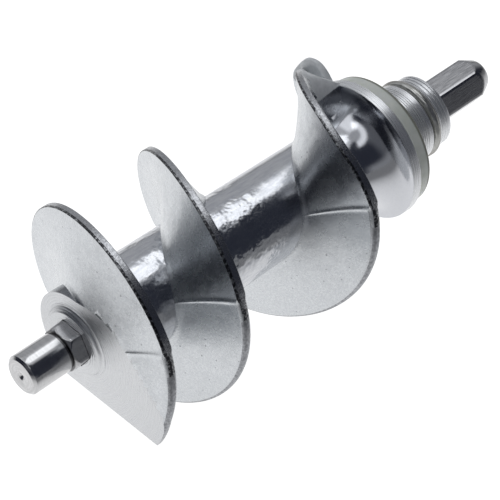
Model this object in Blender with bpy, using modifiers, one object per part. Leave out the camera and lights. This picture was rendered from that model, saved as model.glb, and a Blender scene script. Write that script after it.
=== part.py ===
"""Feed screw of a small meat mincer: a left-hand cast worm on a hexagonal steel bar.

The screw axis is world X. The drive end of the bar is the plane X = 0 and the journal
points towards -X, which is the front. +Z is up. Metres throughout; angles in degrees,
and angles about the axis run from +Y towards +Z.
"""
import math

import bmesh
import bpy
import numpy as np
from mathutils import Matrix, Vector

MM = 0.001
OBJECT_NAME = "mincer_feed_screw"

# ---------------------------------------------------------------- stations along X
X_JOURNAL_TIP = -119.8 * MM
X_JOURNAL_ROOT = -110.8 * MM       # end of the knife hexagon, start of the journal
X_COLLAR_FACE = -107.8 * MM        # knife rests on this raised ring
X_BOSS_FACE = -106.74 * MM         # machined front face of boss and first flight
X_FLANGE_FRONT = -34.0 * MM
X_FLANGE_BACK = -31.8 * MM
X_RING_BACK = -28.3 * MM
X_GROOVE_FRONT = -21.15 * MM
X_GROOVE_BACK = -18.85 * MM
X_HUB_BACK = -15.8 * MM

# ---------------------------------------------------------------- hexagonal bar
HEX_ACROSS_FLATS = 8.4 * MM
HEX_CORNER_R = HEX_ACROSS_FLATS / math.sqrt(3.0)
HEX_FIT = 0.1 * MM                 # clearance of the bore on each flat
HEX_TURN = 3.5                     # flats are turned this far from level
JOURNAL_R = 4.0 * MM
JOURNAL_CHAMFER = 0.5 * MM
JOURNAL_NECK_R = 3.85 * MM         # relief between journal and knife hexagon
JOURNAL_NECK_W = 0.5 * MM
KNIFE_CHAMFER_L = 1.0 * MM         # turned chamfer on the knife hexagon
KNIFE_CHAMFER_R = JOURNAL_R + 0.15 * MM
DRIVE_END_R = 3.0 * MM             # face left by the long lead-in on the drive end
DRIVE_LEAD_L = 3.9 * MM
CENTRE_DRILL_R = 0.9 * MM
CENTRE_DRILL_DEPTH = 0.7 * MM
ENVELOPE_CLEAR = 1.0 * MM          # turned envelope beyond the hexagon's corners
TRIM_R = 9.0 * MM                  # drum that trims the bar to its flats

# ---------------------------------------------------------------- cast body
BOSS_R = 9.9 * MM
BOSS_L = 1.5 * MM
BOSS_TAPER_END = 6.0 * MM          # behind the boss face
COLLAR_R = 7.3 * MM                # raised ring under the knife, at its base
COLLAR_FACE_R = 6.4 * MM           # and at its face
COLLAR_CHAMFER_L = 0.35 * MM
COLLAR_CHAMFER_R = 0.3 * MM
CORE_R_FRONT = 9.75 * MM
CORE_R_REAR = 8.6 * MM
FLANGE_R = 14.6 * MM
FLANGE_CHAMFER = 0.2 * MM          # on its back edge
DISH_DEPTH = 8.4 * MM              # hollow between core and flange
DISH_RIM_R = FLANGE_R - 0.35 * MM
DISH_CORE_STEP = 0.25 * MM         # dish ends this far outside the rear core radius
HUB_R = 8.0 * MM
HUB_TAPER_L = 0.4 * MM
SPIGOT_R = 8.4 * MM                # carries the sealing ring
GROOVE_R = 6.3 * MM
REAR_COLLAR_R = 7.5 * MM
REAR_COLLAR_CHAMFER = 0.3 * MM
REAR_COLLAR_TAPER = 0.1 * MM       # radius gained towards the groove
BORE_OVERRUN = 5.0 * MM            # bore cutter beyond each end of the casting

# ---------------------------------------------------------------- flight
# It is cast in two half moulds, so it is laid out half turn by half turn between the two
# sides of the parting plane, flatter at the plane and steeper midway. "Turn" values are
# degrees of flight from its tip. A pair is the turns between which a change is eased.
FLIGHT_R_FRONT = 24.0 * MM
FLIGHT_R_REAR = 21.6 * MM
REAR_RADIUS_TURN = 900.0           # the rear radius is reached here
START_ANGLE = 211.6                # angle about the axis of the tip
PARTING_TURN = 57.6                # first crossing of the parting plane
FIRST_STATION = 2.0 * MM           # leading edge of the rim there, behind the boss face
HALF_TURN_ADVANCE = [a * MM for a in (16.0, 8.4, 10.2, 16.5, 18.2, 18.0)]
LAST_PARTING = PARTING_TURN + 180.0 * (len(HALF_TURN_ADVANCE) - 2)
FLATTENING = 0.5                   # 0 is a plain helix, 1 is level at the parting plane
FLIGHT_START = -75.0               # ahead of the tip, cut away by the facing
RUN_OUT = 950.0                    # the root has run out here
FLIGHT_STEP = 7.5                  # turn between sections before the sweep
SWEEP_SECTIONS = 24

# the rim sweeps back to land on the flange
SWEEP_START = 808.0
SWEEP_SPAN = 95.0
LAND = SWEEP_START + SWEEP_SPAN
SWEEP_LIMIT = 1.15                 # share of the span at which the sweep stops growing
SWEEP_POWER = 1.7
SWEEP_SINK = 0.2 * MM              # rim meets the flange this far behind its front
SWEEP_CURL = 1.15 * MM
CURL_IN = (842.0, 878.0)
CURL_OUT = (884.0, 906.0)
RADIUS_TRIMS = (                   # (radius lost, from turn, to turn)
    (1.35 * MM, 846.0, 886.0),
    (0.65 * MM, 870.0, 894.0),
)
LANDED_R = FLANGE_R - 0.6 * MM     # rim radius at the run-out

RIM_THICKNESS_MIN = 1.6 * MM       # midway between the parting lines
RIM_THICKNESS_MAX = 2.1 * MM       # at the parting lines
LEAN_FRONT = 4.1 * MM              # the pushing face stands forward at its root
LEAN_REAR = 6.0 * MM
LEAN_CHANGE = (500.0, 770.0)
HOLLOW = 0.55                      # share of the lean that builds up close to the core
HOLLOW_POWER = 2.2
ROOT_FADE = (885.0, RUN_OUT)
ROOT_FADE_AHEAD = 1.5 * MM         # front root ends this far ahead of the flange
REAR_DRAFT = 0.6 * MM
REAR_DRAFT_MID = 4.5 * MM          # more of it midway between the parting lines
MID_DRAFT_FIRST_SHARE = 0.55       # share of the extra draft on the first turns
MID_DRAFT_GROWTH = (150.0, 400.0)
DRAFT_FADE = (815.0, 855.0)
ROOT_R = CORE_R_REAR - 1.6 * MM    # faces carry on to here inside the core
REAR_FACE_SHARES = (0.0, 0.5, 1.0)                          # section points, 0 is the root
FRONT_FACE_SHARES = (1.0, 0.76, 0.52, 0.32, 0.15, 0.0)      # and 1 is the rim

# distances behind the boss face
FLANGE_PLACE = X_FLANGE_FRONT - X_BOSS_FACE
REAR_LIMIT = X_FLANGE_BACK - 0.3 * MM - X_BOSS_FACE         # flight ends in the flange
RIM_MARGIN = 0.9 * MM              # least distance of the front rim from that limit

TIP_CUT_Z = -11.45 * MM            # level cut that ends the first flight
TIP_CUT_AHEAD = 2.0 * MM           # its reach either side of the boss face
TIP_CUT_BEHIND = 3.4 * MM
TIP_CUT_Y = 26.0 * MM
FACING_DEPTH = 24.0 * MM           # reach of the facing ahead of the boss
CUT_REACH = 30.0 * MM              # beyond the flight rim

# ---------------------------------------------------------------- tongue
# part of the flange that the end of the flight lands on; its places are angles
TONGUE_R = 20.87 * MM
TONGUE_START = 52.6
TONGUE_START_R = FLANGE_R + 0.3 * MM
TONGUE_CORNER = 13.6               # degrees taken by its rounded corner
TONGUE_CORNER_POWER = 0.365
TONGUE_FADE = 27.0                 # from here it runs down into the flange
TONGUE_END = -8.0
TONGUE_END_R = FLANGE_R - 0.4 * MM
TONGUE_INNER_R = 12.0 * MM
TONGUE_SET_BACK = 0.12 * MM        # behind the flange front
TONGUE_THICKNESS = 1.4 * MM
TONGUE_SECTIONS = 26
TONGUE_SPACING_POWER = 1.7         # crowds the sections towards the corner

# ---------------------------------------------------------------- rings
SEAL_R = 13.8 * MM
SEAL_CLEARANCE = 0.08 * MM
SEAL_GAP = 0.12 * MM               # behind the flange
SEAL_ROUND = 0.7 * MM              # back edge
SEAL_CHAMFER = 0.2 * MM            # front edge
ORING_OUTER_R = 8.35 * MM
ORING_SECTION_R = 0.98 * MM
ORING_X = -20.0 * MM

# steps round the axis
BODY_SEGMENTS = 60
SHAFT_SEGMENTS = 48
TRIM_SEGMENTS = 12
SEAL_SEGMENTS = 72

# ---------------------------------------------------------------- scene
for old in list(bpy.data.objects):
    bpy.data.objects.remove(old, do_unlink=True)


def collection(name):
    made = bpy.data.collections.new(name)
    bpy.context.scene.collection.children.link(made)
    return made


PARTS = collection(OBJECT_NAME)
CUTTERS = collection("cutters")


def material(name, colour, roughness, metallic):
    mat = bpy.data.materials.new(name)
    mat.use_nodes = True
    bsdf = mat.node_tree.nodes["Principled BSDF"]
    bsdf.inputs["Base Color"].default_value = (*colour, 1.0)
    bsdf.inputs["Roughness"].default_value = roughness
    bsdf.inputs["Metallic"].default_value = metallic
    return mat


CAST_ALUMINIUM = material("cast_aluminium", colour=(0.62, 0.64, 0.66),
                          roughness=0.30, metallic=1.0)
BRIGHT_STEEL = material("bright_steel", colour=(0.42, 0.42, 0.43),
                        roughness=0.25, metallic=1.0)
PALE_PLASTIC = material("pale_plastic", colour=(0.66, 0.70, 0.60),
                        roughness=0.45, metallic=0.0)
AMBER_RUBBER = material("amber_rubber", colour=(0.10, 0.08, 0.05),
                        roughness=0.25, metallic=0.0)


# ---------------------------------------------------------------- solids
def add(name, mesh, mat=None):
    """Links a mesh as a named part or, without a material, as a hidden cutter."""
    obj = bpy.data.objects.new(name, mesh)
    if mat is None:
        CUTTERS.objects.link(obj)
        obj.hide_render = True
        obj.display_type = "WIRE"
    else:
        PARTS.objects.link(obj)
        mesh.materials.append(mat)
    return obj


def finish(name, bm):
    """Turns a bmesh into a mesh and frees it."""
    mesh = bpy.data.meshes.new(name)
    bm.to_mesh(mesh)
    bm.free()
    return mesh


def turned(name, profile, mat=None, closed=False, segments=BODY_SEGMENTS):
    """A body of revolution about X from (x, r) points. closed makes a ring; otherwise
    both ends of the profile lie on the axis."""
    mesh = bpy.data.meshes.new(name)
    # local Z is the turning axis; local +X is the radius
    verts = [(r, 0.0, x) for x, r in profile]
    edges = [(i, i + 1) for i in range(len(verts) - 1)]
    if closed:
        edges.append((len(verts) - 1, 0))
    mesh.from_pydata(verts, edges, [])
    obj = add(name, mesh, mat)
    # local Z onto world X, local X onto world -Z
    obj.matrix_world = Matrix(((0, 0, 1, 0), (0, 1, 0, 0), (-1, 0, 0, 0), (0, 0, 0, 1)))
    screw = obj.modifiers.new("turn", "SCREW")
    screw.axis = "Z"
    screw.angle = 2.0 * math.pi
    screw.steps = segments
    screw.render_steps = segments
    screw.use_merge_vertices = True
    screw.merge_threshold = 0.00001
    screw.use_smooth_shade = True
    screw.use_normal_calculate = False
    return obj


def boolean(obj, other, operation):
    mod = obj.modifiers.new(operation.lower() + "_" + other.name, "BOOLEAN")
    mod.operation = operation
    mod.solver = "EXACT"
    mod.object = other


def hex_cutter(name, across_flats, x0, x1):
    """A hexagonal prism along X, turned HEX_TURN from level flats."""
    bm = bmesh.new()
    radius = across_flats / math.sqrt(3.0)
    bmesh.ops.create_cone(bm, cap_ends=True, cap_tris=False, segments=6,
                          radius1=radius, radius2=radius, depth=x1 - x0)
    # axis onto X
    turn = Matrix.Rotation(math.radians(90.0), 4, "Y")
    bmesh.ops.transform(bm, matrix=turn, verts=bm.verts)
    # a corner onto the nearest multiple of 60 degrees from +Y, then the turn
    bm.verts.ensure_lookup_table()
    angle = math.atan2(bm.verts[0].co.z, bm.verts[0].co.y)
    step = math.radians(60.0)
    off = round(angle / step) * step - angle + math.radians(HEX_TURN)
    bmesh.ops.transform(bm, matrix=Matrix.Rotation(off, 4, "X"), verts=bm.verts)
    bmesh.ops.translate(bm, vec=Vector(((x0 + x1) / 2.0, 0, 0)), verts=bm.verts)
    bmesh.ops.recalc_face_normals(bm, faces=bm.faces)
    return add(name, finish(name, bm))


def block_cutter(name, low, high):
    """A rectangular cutter between two corners."""
    bm = bmesh.new()
    bmesh.ops.create_cube(bm, size=1.0)
    low, high = Vector(low), Vector(high)
    bmesh.ops.scale(bm, vec=high - low, verts=bm.verts)
    bmesh.ops.translate(bm, vec=(low + high) / 2.0, verts=bm.verts)
    return add(name, finish(name, bm))


def loft_cutter(name, sections):
    """A closed loft through (angle about X, [(x, r), ...]) sections."""
    bm = bmesh.new()
    rings = []
    for degrees, section in sections:
        angle = math.radians(degrees)
        rings.append([bm.verts.new((x, r * math.cos(angle), r * math.sin(angle)))
                      for x, r in section])
    count = len(rings[0])
    for a, b in zip(rings[:-1], rings[1:]):
        for i in range(count):
            j = (i + 1) % count
            bm.faces.new((a[i], a[j], b[j], b[i]))
    bm.faces.new(list(reversed(rings[0])))
    bm.faces.new(rings[-1])
    bmesh.ops.recalc_face_normals(bm, faces=bm.faces)
    return add(name, finish(name, bm))


def arc(centre_x, centre_r, radius, start, stop, count):
    """Points of a circular arc in the (x, r) plane, angles from +x to +r."""
    return [(centre_x + radius * math.cos(a), centre_r + radius * math.sin(a))
            for a in map(math.radians, np.linspace(start, stop, count))]


def clamp(x):
    return min(1.0, max(0.0, x))


def mix(first, last, share):
    return first + (last - first) * share


def ease(value, start, end):
    """Smooth step from 0 at start to 1 at end."""
    x = clamp((value - start) / (end - start))
    return x * x * (3.0 - 2.0 * x)


# ---------------------------------------------------------------- drive shaft
def build_shaft():
    """A turned envelope with journal, relief, knife chamfer and long lead-in, trimmed to
    a hexagon over all but the journal."""
    clear = HEX_CORNER_R + ENVELOPE_CLEAR
    x_knife = X_JOURNAL_ROOT + KNIFE_CHAMFER_L
    x_neck = X_JOURNAL_ROOT - JOURNAL_NECK_W
    shaft = turned("drive_shaft", [
        (0.0, 0.0),
        (0.0, DRIVE_END_R),
        (-DRIVE_LEAD_L, HEX_CORNER_R),
        (-DRIVE_LEAD_L - ENVELOPE_CLEAR, clear),
        (x_knife + ENVELOPE_CLEAR, clear),
        (x_knife, HEX_CORNER_R),
        (X_JOURNAL_ROOT, KNIFE_CHAMFER_R),
        (X_JOURNAL_ROOT, JOURNAL_NECK_R),
        (x_neck, JOURNAL_NECK_R),
        (x_neck, JOURNAL_R),
        (X_JOURNAL_TIP + JOURNAL_CHAMFER, JOURNAL_R),
        (X_JOURNAL_TIP, JOURNAL_R - JOURNAL_CHAMFER),
        (X_JOURNAL_TIP, CENTRE_DRILL_R),
        (X_JOURNAL_TIP + CENTRE_DRILL_DEPTH, 0.0),
    ], BRIGHT_STEEL, segments=SHAFT_SEGMENTS)

    # the trim is a drum with a hexagonal hole
    x_back = 3.0 * MM
    x_front = X_JOURNAL_ROOT - 0.01 * MM
    trim = turned("hex_trim_outer", [(x_back, 0.0), (x_back, TRIM_R), (x_front, TRIM_R),
                                     (x_front, 0.0)], segments=TRIM_SEGMENTS)
    core = hex_cutter("hex_core", HEX_ACROSS_FLATS, X_JOURNAL_ROOT - 2.0 * MM, 5.0 * MM)
    boolean(trim, core, "DIFFERENCE")
    boolean(shaft, trim, "DIFFERENCE")


# ---------------------------------------------------------------- worm: turned body
def dish_profile():
    """Quarter of an ellipse from the flange edge down to the core."""
    points = []
    for a in map(math.radians, np.linspace(0.0, 90.0, 7)):
        points.append((X_FLANGE_FRONT - DISH_DEPTH * (1.0 - math.cos(a)),
                       DISH_RIM_R - (DISH_RIM_R - CORE_R_REAR - DISH_CORE_STEP) * math.sin(a)))
    return points


def casting_profile():
    """(x, r) points from the back of the hub to the collar face."""
    return [
        (X_HUB_BACK, 0.0),
        (X_HUB_BACK, REAR_COLLAR_R - REAR_COLLAR_CHAMFER),
        (X_HUB_BACK - REAR_COLLAR_CHAMFER, REAR_COLLAR_R),
        (X_GROOVE_BACK, REAR_COLLAR_R + REAR_COLLAR_TAPER),
        (X_GROOVE_BACK, GROOVE_R),
        (X_GROOVE_FRONT, GROOVE_R),
        (X_GROOVE_FRONT, HUB_R),
        (X_RING_BACK + HUB_TAPER_L, HUB_R),
        (X_RING_BACK, SPIGOT_R),
        (X_FLANGE_BACK, SPIGOT_R),
        (X_FLANGE_BACK, FLANGE_R - FLANGE_CHAMFER),
        (X_FLANGE_BACK - FLANGE_CHAMFER, FLANGE_R),
        (X_FLANGE_FRONT, FLANGE_R),
        *dish_profile(),
        (X_BOSS_FACE + BOSS_TAPER_END, CORE_R_FRONT),
        (X_BOSS_FACE + BOSS_L, BOSS_R),
        (X_BOSS_FACE, BOSS_R),
        (X_BOSS_FACE, COLLAR_R),
        (X_COLLAR_FACE + COLLAR_CHAMFER_L, COLLAR_FACE_R + COLLAR_CHAMFER_R),
        (X_COLLAR_FACE, COLLAR_FACE_R),
        (X_COLLAR_FACE, 0.0),
    ]


# ---------------------------------------------------------------- worm: flight
# Places along the axis are measured back from the boss face; t is the turn from the tip.
def lead(t):
    """Axial place of the flight at t, before the sweep."""
    start = PARTING_TURN - 180.0
    place = FIRST_STATION - HALF_TURN_ADVANCE[0]
    # the run-out lies within the last half turn, so one is always found
    for advance in HALF_TURN_ADVANCE:
        if t <= start + 180.0:
            break
        start += 180.0
        place += advance
    k = (t - start) / 180.0
    return place + advance * (k - FLATTENING * math.sin(2.0 * math.pi * k) / (2.0 * math.pi))


def front_rim_place(t):
    """Axial place of the leading edge of the rim, swept back at the end."""
    if t <= LAST_PARTING:
        return lead(t)
    sweep = max(0.0, t - SWEEP_START) / SWEEP_SPAN
    place = mix(lead(LAST_PARTING), FLANGE_PLACE + SWEEP_SINK,
                min(SWEEP_LIMIT, sweep) ** SWEEP_POWER)
    place += SWEEP_CURL * ease(t, *CURL_IN) * (1.0 - ease(t, *CURL_OUT))
    return min(place, REAR_LIMIT - RIM_MARGIN)


def rim_radius(t):
    radius = mix(FLIGHT_R_FRONT, FLIGHT_R_REAR, clamp(t / REAR_RADIUS_TURN))
    radius -= sum(loss * ease(t, start, end) for loss, start, end in RADIUS_TRIMS)
    return mix(radius, LANDED_R, ease(t, LAND, RUN_OUT))


def flight_section(t):
    """Section of the flight at t: (x, r) points from the root behind, out to the rim and
    back in along the pushing face."""
    # 0 at the parting lines, 1 midway between them
    mid = math.sin(math.radians(t - PARTING_TURN)) ** 2
    base = lead(t)
    radius = rim_radius(t)
    thickness = mix(RIM_THICKNESS_MIN, RIM_THICKNESS_MAX, (1.0 - mid) ** 2)

    front_rim = front_rim_place(t)
    front_root = base - mix(LEAN_FRONT, LEAN_REAR, ease(t, *LEAN_CHANGE))
    front_root = mix(front_root, FLANGE_PLACE - ROOT_FADE_AHEAD, ease(t, *ROOT_FADE))
    front_root = min(front_root, front_rim)

    draft = REAR_DRAFT + REAR_DRAFT_MID * mid * mix(MID_DRAFT_FIRST_SHARE, 1.0,
                                                    ease(t, *MID_DRAFT_GROWTH))
    draft *= 1.0 - ease(t, *DRAFT_FADE)
    back_rim = min(max(front_rim, 0.0) + thickness, REAR_LIMIT)
    back_root = max(min(max(base, 0.0) + thickness + draft, REAR_LIMIT), back_rim)

    core = mix(CORE_R_FRONT, CORE_R_REAR, clamp(base / FLANGE_PLACE))

    def face_point(rim_x, root_x, share, hollow=False):
        r = mix(ROOT_R, radius, share)
        depth = (radius - r) / (radius - core)
        if hollow:
            depth = (1.0 - HOLLOW) * depth + HOLLOW * depth ** HOLLOW_POWER
        return X_BOSS_FACE + min(mix(rim_x, root_x, depth), REAR_LIMIT), r

    # the rear face is straight; the pushing face is flat near the rim and steeper
    # towards the core
    points = [face_point(back_rim, back_root, k) for k in REAR_FACE_SHARES]
    points += [face_point(front_rim, front_root, k, hollow=True) for k in FRONT_FACE_SHARES]
    return points


def build_flight():
    turns = list(np.arange(FLIGHT_START, SWEEP_START, FLIGHT_STEP))
    turns += list(np.linspace(SWEEP_START, RUN_OUT, SWEEP_SECTIONS))
    flight = loft_cutter("flight", [(START_ANGLE - t, flight_section(t)) for t in turns])
    # the front of the first flight is faced off level with the boss
    facing = block_cutter("front_face_cut",
                          (X_BOSS_FACE - FACING_DEPTH, -CUT_REACH, -CUT_REACH),
                          (X_BOSS_FACE, CUT_REACH, CUT_REACH))
    boolean(flight, facing, "DIFFERENCE")
    # and its tip ends on a level cut below the boss
    tip_cut = block_cutter("tip_cut",
                           (X_BOSS_FACE - TIP_CUT_AHEAD, -TIP_CUT_Y, -CUT_REACH),
                           (X_BOSS_FACE + TIP_CUT_BEHIND, TIP_CUT_Y, TIP_CUT_Z))
    boolean(flight, tip_cut, "DIFFERENCE")
    return flight


# ---------------------------------------------------------------- worm: tongue
def tongue_radius(angle):
    if angle > TONGUE_FADE:
        u = min(1.0, (TONGUE_START - angle) / TONGUE_CORNER)
        return mix(TONGUE_START_R, TONGUE_R, (1.0 - (1.0 - u) ** 2) ** TONGUE_CORNER_POWER)
    return mix(TONGUE_R, TONGUE_END_R, ease(angle, TONGUE_FADE, TONGUE_END))


def build_tongue():
    front = X_FLANGE_FRONT + TONGUE_SET_BACK
    back = front + TONGUE_THICKNESS
    shares = np.linspace(0.0, 1.0, TONGUE_SECTIONS) ** TONGUE_SPACING_POWER
    sections = []
    for angle in mix(TONGUE_START, TONGUE_END, shares):
        r = tongue_radius(angle)
        # the front edge is rounded in two steps
        sections.append((angle, [
            (front, TONGUE_INNER_R),
            (front, r - 0.8 * MM),
            (front + 0.25 * MM, r - 0.25 * MM),
            (front + 0.8 * MM, r),
            (back, r - 0.1 * MM),
            (back, TONGUE_INNER_R),
        ]))
    return loft_cutter("tongue", sections)


def build_casting():
    casting = turned("screw_casting", casting_profile(), CAST_ALUMINIUM)
    boolean(casting, build_flight(), "UNION")
    boolean(casting, build_tongue(), "UNION")
    bore = hex_cutter("hex_bore", HEX_ACROSS_FLATS + 2.0 * HEX_FIT,
                      X_COLLAR_FACE - BORE_OVERRUN, X_HUB_BACK + BORE_OVERRUN)
    boolean(casting, bore, "DIFFERENCE")


# ---------------------------------------------------------------- rings
def build_sealing_ring():
    bore = SPIGOT_R + SEAL_CLEARANCE
    x_front = X_FLANGE_BACK + SEAL_GAP
    turned("sealing_ring", [
        (X_RING_BACK, bore),
        *arc(X_RING_BACK - SEAL_ROUND, SEAL_R - SEAL_ROUND, SEAL_ROUND, 0.0, 90.0, 4),
        (x_front + SEAL_CHAMFER, SEAL_R),
        (x_front, SEAL_R - SEAL_CHAMFER),
        (x_front, bore),
    ], PALE_PLASTIC, closed=True, segments=SEAL_SEGMENTS)


def build_o_ring():
    """Ring in the hub groove."""
    section = arc(ORING_X, ORING_OUTER_R - ORING_SECTION_R, ORING_SECTION_R, 0.0, 360.0, 13)
    # the last point repeats the first
    turned("hub_o_ring", section[:-1], AMBER_RUBBER, closed=True)


build_shaft()
build_casting()
build_sealing_ring()
build_o_ring()
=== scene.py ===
import math

import bmesh
import bpy
import numpy as np
from mathutils import Matrix, Vector


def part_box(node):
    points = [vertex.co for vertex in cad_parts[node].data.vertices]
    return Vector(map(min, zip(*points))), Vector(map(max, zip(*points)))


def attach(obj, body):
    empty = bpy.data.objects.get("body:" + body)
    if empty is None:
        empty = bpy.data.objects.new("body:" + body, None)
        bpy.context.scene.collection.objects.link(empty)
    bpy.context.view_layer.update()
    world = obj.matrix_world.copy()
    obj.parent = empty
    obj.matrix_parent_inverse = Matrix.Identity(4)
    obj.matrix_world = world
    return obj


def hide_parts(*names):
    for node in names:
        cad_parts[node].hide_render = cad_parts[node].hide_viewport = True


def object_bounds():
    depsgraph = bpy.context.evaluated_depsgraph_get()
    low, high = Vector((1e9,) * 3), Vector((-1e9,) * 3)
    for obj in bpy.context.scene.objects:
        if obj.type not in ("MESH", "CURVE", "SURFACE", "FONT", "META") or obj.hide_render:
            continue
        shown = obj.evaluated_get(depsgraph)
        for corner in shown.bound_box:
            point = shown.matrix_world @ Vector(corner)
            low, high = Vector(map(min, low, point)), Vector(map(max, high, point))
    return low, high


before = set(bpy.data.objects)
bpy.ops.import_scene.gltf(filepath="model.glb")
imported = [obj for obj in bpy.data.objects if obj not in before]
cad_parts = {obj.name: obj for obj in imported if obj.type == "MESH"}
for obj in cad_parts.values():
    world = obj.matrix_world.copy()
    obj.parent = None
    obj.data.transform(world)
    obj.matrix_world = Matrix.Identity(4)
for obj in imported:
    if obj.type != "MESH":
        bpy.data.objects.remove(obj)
cad_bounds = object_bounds()

# ------------------------------------------------------------------ places, from the frame
# Millimetres from here on, on the frame's own axes; MM turns them back into metres.
MM = 0.001
cast_lo, cast_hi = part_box("screw_casting")
shaft_lo, shaft_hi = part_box("drive_shaft")
ring_lo, ring_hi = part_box("sealing_ring")
band_lo, band_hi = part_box("hub_o_ring")

X_TIP = shaft_lo.x / MM
X_END = shaft_hi.x / MM
X_COLLAR = cast_lo.x / MM
X_HUB_BACK = cast_hi.x / MM
X_RING_FRONT = ring_lo.x / MM
X_RING_BACK = ring_hi.x / MM
RING_R = ring_hi.y / MM
X_BOSS = X_COLLAR + 1.06
X_FLANGE = X_RING_FRONT - 2.32
X_FLANGE_BACK = X_RING_FRONT - 0.12
X_BAND = 0.5 * (band_lo.x + band_hi.x) / MM
BAND_R = band_hi.y / MM

HEX_AF = 8.4
HEX_TURN = 3.5
BOSS_R = 9.9
CORE_FRONT = 9.75
CORE_REAR = 8.6
FLANGE_R = 14.6
DISH_DEPTH = 8.4
HUB_R = 8.0
SPIGOT_R = 8.4
START = 211.6
PARTING = 57.6
FLANGE_AT = X_FLANGE - X_BOSS

SEG = 240
STEP = 2.0


# ------------------------------------------------------------------ helpers
def smooth(x):
    x = min(1.0, max(0.0, x))
    return x * x * (3.0 - 2.0 * x)


def mesh_object(name, verts, faces):
    me = bpy.data.meshes.new(name)
    me.from_pydata([tuple(c * MM for c in v) for v in verts], [], faces)
    me.validate()
    bm = bmesh.new()
    bm.from_mesh(me)
    bmesh.ops.recalc_face_normals(bm, faces=bm.faces)
    bm.to_mesh(me)
    bm.free()
    obj = bpy.data.objects.new(name, me)
    bpy.context.scene.collection.objects.link(obj)
    return obj


def revolve(name, profile, segments, closed=False):
    """Body of revolution about X from (x, r) points; ends on the axis unless closed."""
    verts, rings = [], []
    for x, r in profile:
        if r < 1e-6:
            rings.append([len(verts)])
            verts.append((x, 0.0, 0.0))
        else:
            rings.append(list(range(len(verts), len(verts) + segments)))
            for i in range(segments):
                a = 2.0 * math.pi * i / segments
                verts.append((x, r * math.cos(a), r * math.sin(a)))
    faces = []
    pairs = list(zip(rings[:-1], rings[1:]))
    if closed:
        pairs.append((rings[-1], rings[0]))
    for a, b in pairs:
        for i in range(segments):
            j = (i + 1) % segments
            if len(a) == 1 and len(b) == 1:
                continue
            if len(a) == 1:
                faces.append((a[0], b[j], b[i]))
            elif len(b) == 1:
                faces.append((a[i], a[j], b[0]))
            else:
                faces.append((a[i], a[j], b[j], b[i]))
    return mesh_object(name, verts, faces)


def loft(name, rings):
    """Closed loft through equal rings of points, capped at both ends."""
    n = len(rings[0])
    verts = [p for ring in rings for p in ring]
    faces = []
    for k in range(len(rings) - 1):
        a, b = k * n, (k + 1) * n
        for i in range(n):
            j = (i + 1) % n
            faces.append((a + i, a + j, b + j, b + i))
    faces.append(tuple(range(n - 1, -1, -1)))
    last = (len(rings) - 1) * n
    faces.append(tuple(last + i for i in range(n)))
    return mesh_object(name, verts, faces)


def block(name, lo, hi):
    xs, ys, zs = zip(lo, hi)
    verts = [(x, y, z) for x in xs for y in ys for z in zs]
    faces = [(0, 1, 3, 2), (4, 6, 7, 5), (0, 4, 5, 1), (2, 3, 7, 6), (0, 2, 6, 4), (1, 5, 7, 3)]
    return mesh_object(name, verts, faces)


def apply_modifiers(obj):
    dg = bpy.context.evaluated_depsgraph_get()
    me = bpy.data.meshes.new_from_object(obj.evaluated_get(dg))
    old = obj.data
    obj.modifiers.clear()
    obj.data = me
    bpy.data.meshes.remove(old)


def boolean(obj, others, operation):
    if not isinstance(others, (list, tuple)):
        others = [others]
    for other in others:
        mod = obj.modifiers.new("b", "BOOLEAN")
        mod.operation = operation
        mod.solver = "EXACT"
        mod.object = other
        apply_modifiers(obj)
        bpy.data.objects.remove(other, do_unlink=True)


def hex_ring(x, af, grow=0.0, points=1):
    """Hexagon section at x; points > 1 gives each side that many points."""
    out = []
    rad = af / math.sqrt(3.0) + grow
    corner = [(rad * math.cos(math.radians(HEX_TURN + 60.0 * k)),
               rad * math.sin(math.radians(HEX_TURN + 60.0 * k))) for k in range(6)]
    for k in range(6):
        a, b = corner[k], corner[(k + 1) % 6]
        for i in range(points):
            f = i / points
            out.append((x, a[0] + (b[0] - a[0]) * f, a[1] + (b[1] - a[1]) * f))
    return out


# ------------------------------------------------------------------ the flight
FLIGHT_R_FRONT = 24.0
FLIGHT_R_REAR = 21.6
FIRST_STATION = 2.0
ADVANCE = (16.0, 8.4, 10.2, 16.5, 18.2, 18.0)
FLATTENING = 0.5
LAST_PARTING = PARTING + 180.0 * 4
SWEEP_START, SWEEP_SPAN, SWEEP_POWER = 808.0, 95.0, 1.7
LAND = SWEEP_START + SWEEP_SPAN
RUN_OUT = 950.0
TIP_CUT_Z = -11.45


def lead(t):
    start = PARTING - 180.0
    place = FIRST_STATION - ADVANCE[0]
    for i, advance in enumerate(ADVANCE):
        if t <= start + 180.0 or i == len(ADVANCE) - 1:
            k = (t - start) / 180.0
            return place + advance * (k - FLATTENING * math.sin(2.0 * math.pi * k) / (2.0 * math.pi))
        start += 180.0
        place += advance
    return place


def core_radius(x):
    return CORE_FRONT + (CORE_REAR - CORE_FRONT) * min(1.0, max(0.0, x) / FLANGE_AT)


def upper(t):
    """1 on the half that the upper mould makes, 0 on the lower one."""
    k = ((t - PARTING) % 360.0)
    return smooth((k + 2.0) / 4.0) * (1.0 - smooth((k - 178.0) / 4.0)) if k < 300 else smooth((k - 358.0) / 4.0)


def rim_radius(t):
    r = FLIGHT_R_FRONT + (FLIGHT_R_REAR - FLIGHT_R_FRONT) * min(1.0, max(0.0, t) / 900.0)
    r -= 1.35 * smooth((t - 846.0) / 40.0) + 0.65 * smooth((t - 870.0) / 24.0)
    return r - 0.01


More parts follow.
